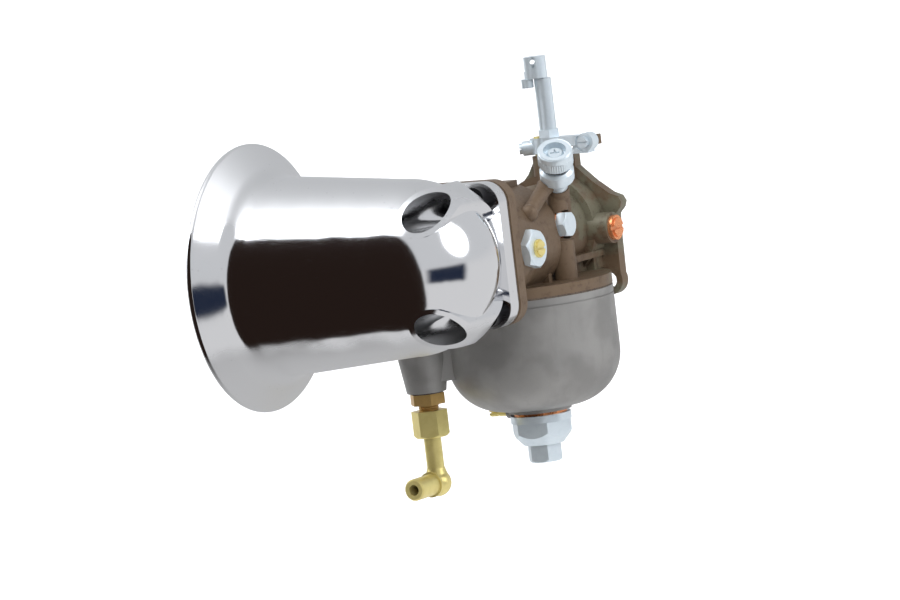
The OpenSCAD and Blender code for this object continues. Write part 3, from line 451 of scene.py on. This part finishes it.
def buildStudio(look):
    world = bpy.data.worlds.new("studio")
    world.use_nodes = True
    bpy.context.scene.world = world
    bench = Bench(world.node_tree)
    direction = bench.node("ShaderNodeTexCoord", {}, {}, "Generated")
    x, y, z = bench.split(direction)
    turnUp = bench.node("ShaderNodeMath", {"operation": "ARCTAN2"}, {0: z, 1: y * -1.0}) * (180 / math.pi)
    turnSide = bench.node("ShaderNodeMath", {"operation": "ARCTAN2"}, {0: x, 1: y * -1.0}) * (180 / math.pi)
    light = bench.mix(bench.rise(z, -0.1, 0.1), look["lower"], look["upper"])
    # the dark side of the room, rounded off towards the right
    across = bench.node("ShaderNodeMath", {"operation": "MAXIMUM"}, {0: x + look["fieldLeft"], 1: 0.0})
    across = across / look["fieldWide"]
    tall = (turnUp + look["fieldBelow"]) / look["fieldTall"]
    rounded = bench.rise(across * across * across + tall * tall, 0.94, 1.04)
    light = bench.mix(1 - rounded, light, look["field"])
    leftward = 1 - bench.rise(x, 0.1, 0.3)
    wedge = bench.band(turnUp, look["wedgeFrom"], look["wedgeTo"], 1.0)
    light = bench.mix(wedge * leftward, light, look["wedge"])
    strip = bench.band(turnUp, look["stripFrom"], look["stripTo"], 1.2)
    light = bench.mix(strip * leftward, light, look["strip"])
    facing = x * look["sideFacing"][0] + y * look["sideFacing"][1] + z * look["sideFacing"][2]
    light = bench.mix(bench.rise(facing, 0.935, 0.960), light, look["side"])
    lowWedge = bench.band(turnSide, look["lowWedgeFrom"], look["lowWedgeTo"], 6)
    light = bench.mix(lowWedge * bench.band(z, -0.30, 0.0, 0.04), light, look["wedge"])
    background = bench.node("ShaderNodeBackground", {}, {"Color": light, "Strength": 1.0})
    bench.node("ShaderNodeOutputWorld", {}, {"Surface": background})
    # pale floor
    half = look["floorSize"] / 2
    level = cadLow.z - look["floorDrop"]
    mesh = bpy.data.meshes.new("floor")
    corners = [(-half, -half, level), (half, -half, level), (half, half, level), (-half, half, level)]
    mesh.from_pydata(corners, [], [(0, 1, 2, 3)])
    floor = bpy.data.objects.new("floor", mesh)
    bpy.context.scene.collection.objects.link(floor)
    material, bench = newFinish("paleFloor")
    shader = bench.node("ShaderNodeBsdfPrincipled", {}, {
        "Base Color": colour(0.92, 0.92, 0.92), "Roughness": 0.9,
        "Emission Color": colour(1, 1, 1), "Emission Strength": look["floorGlow"]})
    bench.node("ShaderNodeOutputMaterial", {}, {"Surface": shader})
    mesh.materials.append(material)
    floor.visible_glossy = False
    floor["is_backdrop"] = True


lampLook = {
    "front": {"place": (0.9, -1.3, 0.9), "size": 0.9, "energy": 19},
    "left": {"place": (-1.1, -1.0, 0.6), "size": 0.8, "energy": 7},
}
lampTarget = Vector((0, -0.06, 0))


def addLamp(name, look):
    lamp = bpy.data.lights.new(name, "AREA")
    lamp.size = look["size"]
    lamp.energy = look["energy"]
    holder = bpy.data.objects.new(name, lamp)
    holder.location = look["place"]
    holder.rotation_mode = "QUATERNION"
    holder.rotation_quaternion = (lampTarget - Vector(look["place"])).to_track_quat("-Z", "Y")
    holder.visible_glossy = False
    bpy.context.scene.collection.objects.link(holder)


cameraLook = {
    "sensor": 36, "near": 0.1, "far": 200, "lens": 300, "distance": 3.0489,
    "roll": math.radians(6.8), "aim": (-0.0464, -0.0305),
    "toward": (0.49770, -0.86204, 0.09585), "side": (0.8660, 0.5, 0.0), "up": (-0.04792, 0.08300, 0.99540),
}


def addCamera(look):
    side, up, toward = (Vector(look[key]).normalized() for key in ("side", "up", "toward"))
    across = side * math.cos(look["roll"]) - up * math.sin(look["roll"])
    upward = side * math.sin(look["roll"]) + up * math.cos(look["roll"])
    camera = bpy.data.objects.new("camera", bpy.data.cameras.new("camera"))
    camera.data.sensor_width = look["sensor"]
    camera.data.lens = look["lens"]
    camera.data.clip_start = look["near"]
    camera.data.clip_end = look["far"]
    place = across * look["aim"][0] + upward * look["aim"][1] + toward * look["distance"]
    turn = Matrix((across, upward, toward)).transposed().to_4x4()
    camera.matrix_world = Matrix.Translation(place) @ turn
    bpy.context.scene.collection.objects.link(camera)
    bpy.context.scene.camera = camera


buildStudio(studioLook)
for name, look in lampLook.items():
    addLamp(name + "Lamp", look)
addCamera(cameraLook)
bpy.context.scene.view_settings.view_transform = "Standard"
print("studio and camera set")

low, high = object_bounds()
